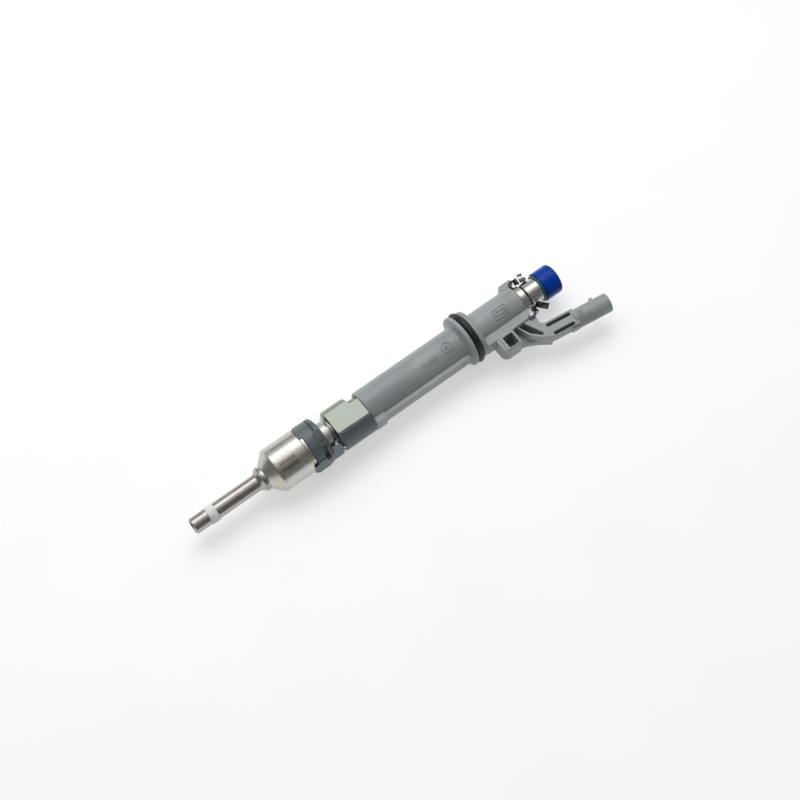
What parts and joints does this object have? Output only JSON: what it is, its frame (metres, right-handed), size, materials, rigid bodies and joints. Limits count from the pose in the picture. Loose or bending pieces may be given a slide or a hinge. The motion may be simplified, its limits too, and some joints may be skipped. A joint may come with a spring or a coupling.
{
  "type": "fuel injector",
  "caption": "Long direct-injection petrol injector: steel nozzle and coil can, plastic sleeve with sealing flange, side connector arm and capped fuel inlet.",
  "frame": {"origin": "centre of the spray tip's end, on the injector's axis", "axes": "+X along the axis from the spray tip to the fuel inlet, -Y towards the connector arm, +Z square to the arm's broad faces"},
  "size_m": [0.2078, 0.0413, 0.0252],
  "materials": {
    "stem_steel": "fine turned, slightly heat-tinted",
    "hard_steel": "ground",
    "polished_steel": "polished",
    "ptfe": "matt, slightly waxy",
    "soft_iron": "turned",
    "can_steel": "satin stainless",
    "spring_steel": "drawn wire",
    "bobbin_plastic": "moulded",
    "copper_wire": "enamelled wire",
    "slate_plastic": "satin, moulded",
    "tinned_copper": "tinned",
    "block_steel": "milled flats, satin",
    "grey_plastic": "satin glass-filled nylon, moulded",
    "seal_rubber": "smooth",
    "teal_ptfe": "smooth",
    "filter_mesh": "woven mesh",
    "cap_plastic": "glossy, saturated blue"
  },
  "bodies": {
    "housing": {"nozzle_tube": "stem_steel", "valve_seat": "hard_steel", "lower_needle_guide": "hard_steel", "upper_needle_guide": "hard_steel", "combustion_seal": "ptfe", "compensation_disc": "hard_steel", "armature_tube": "can_steel", "pole_core": "soft_iron", "return_spring": "spring_steel", "adjuster_sleeve": "hard_steel", "coil_bobbin": "bobbin_plastic", "coil_winding": "copper_wire", "coil_housing": "can_steel", "flux_washer": "can_steel", "coil_overmold": "slate_plastic", "conductor_upper": "tinned_copper", "conductor_lower": "tinned_copper", "terminal_pin_upper": "tinned_copper", "terminal_pin_lower": "tinned_copper", "conductor_duct": "slate_plastic", "carrier_block": "block_steel", "snap_ring": "hard_steel", "sleeve_housing": "grey_plastic", "body_o_ring": "seal_rubber", "inlet_tube": "can_steel", "spacer_ring": "can_steel", "backup_ring": "teal_ptfe", "inlet_o_ring": "seal_rubber", "inlet_filter": "filter_mesh", "retaining_clip": "spring_steel"},
    "needle": {"needle_rod": "hard_steel", "valve_ball": "polished_steel", "armature": "soft_iron"},
    "cap": {"protective_cap": "cap_plastic"}
  },
  "joints": [
    {"name": "needle_lift", "type": "slide", "parent": "housing", "child": "needle", "axis": [1, 0, 0], "range_m": [0, 0.00008]},
    {"name": "cap_pull", "type": "slide", "parent": "housing", "child": "cap", "axis": [1, 0, 0], "range_m": [0, 0.02]}
  ]
}
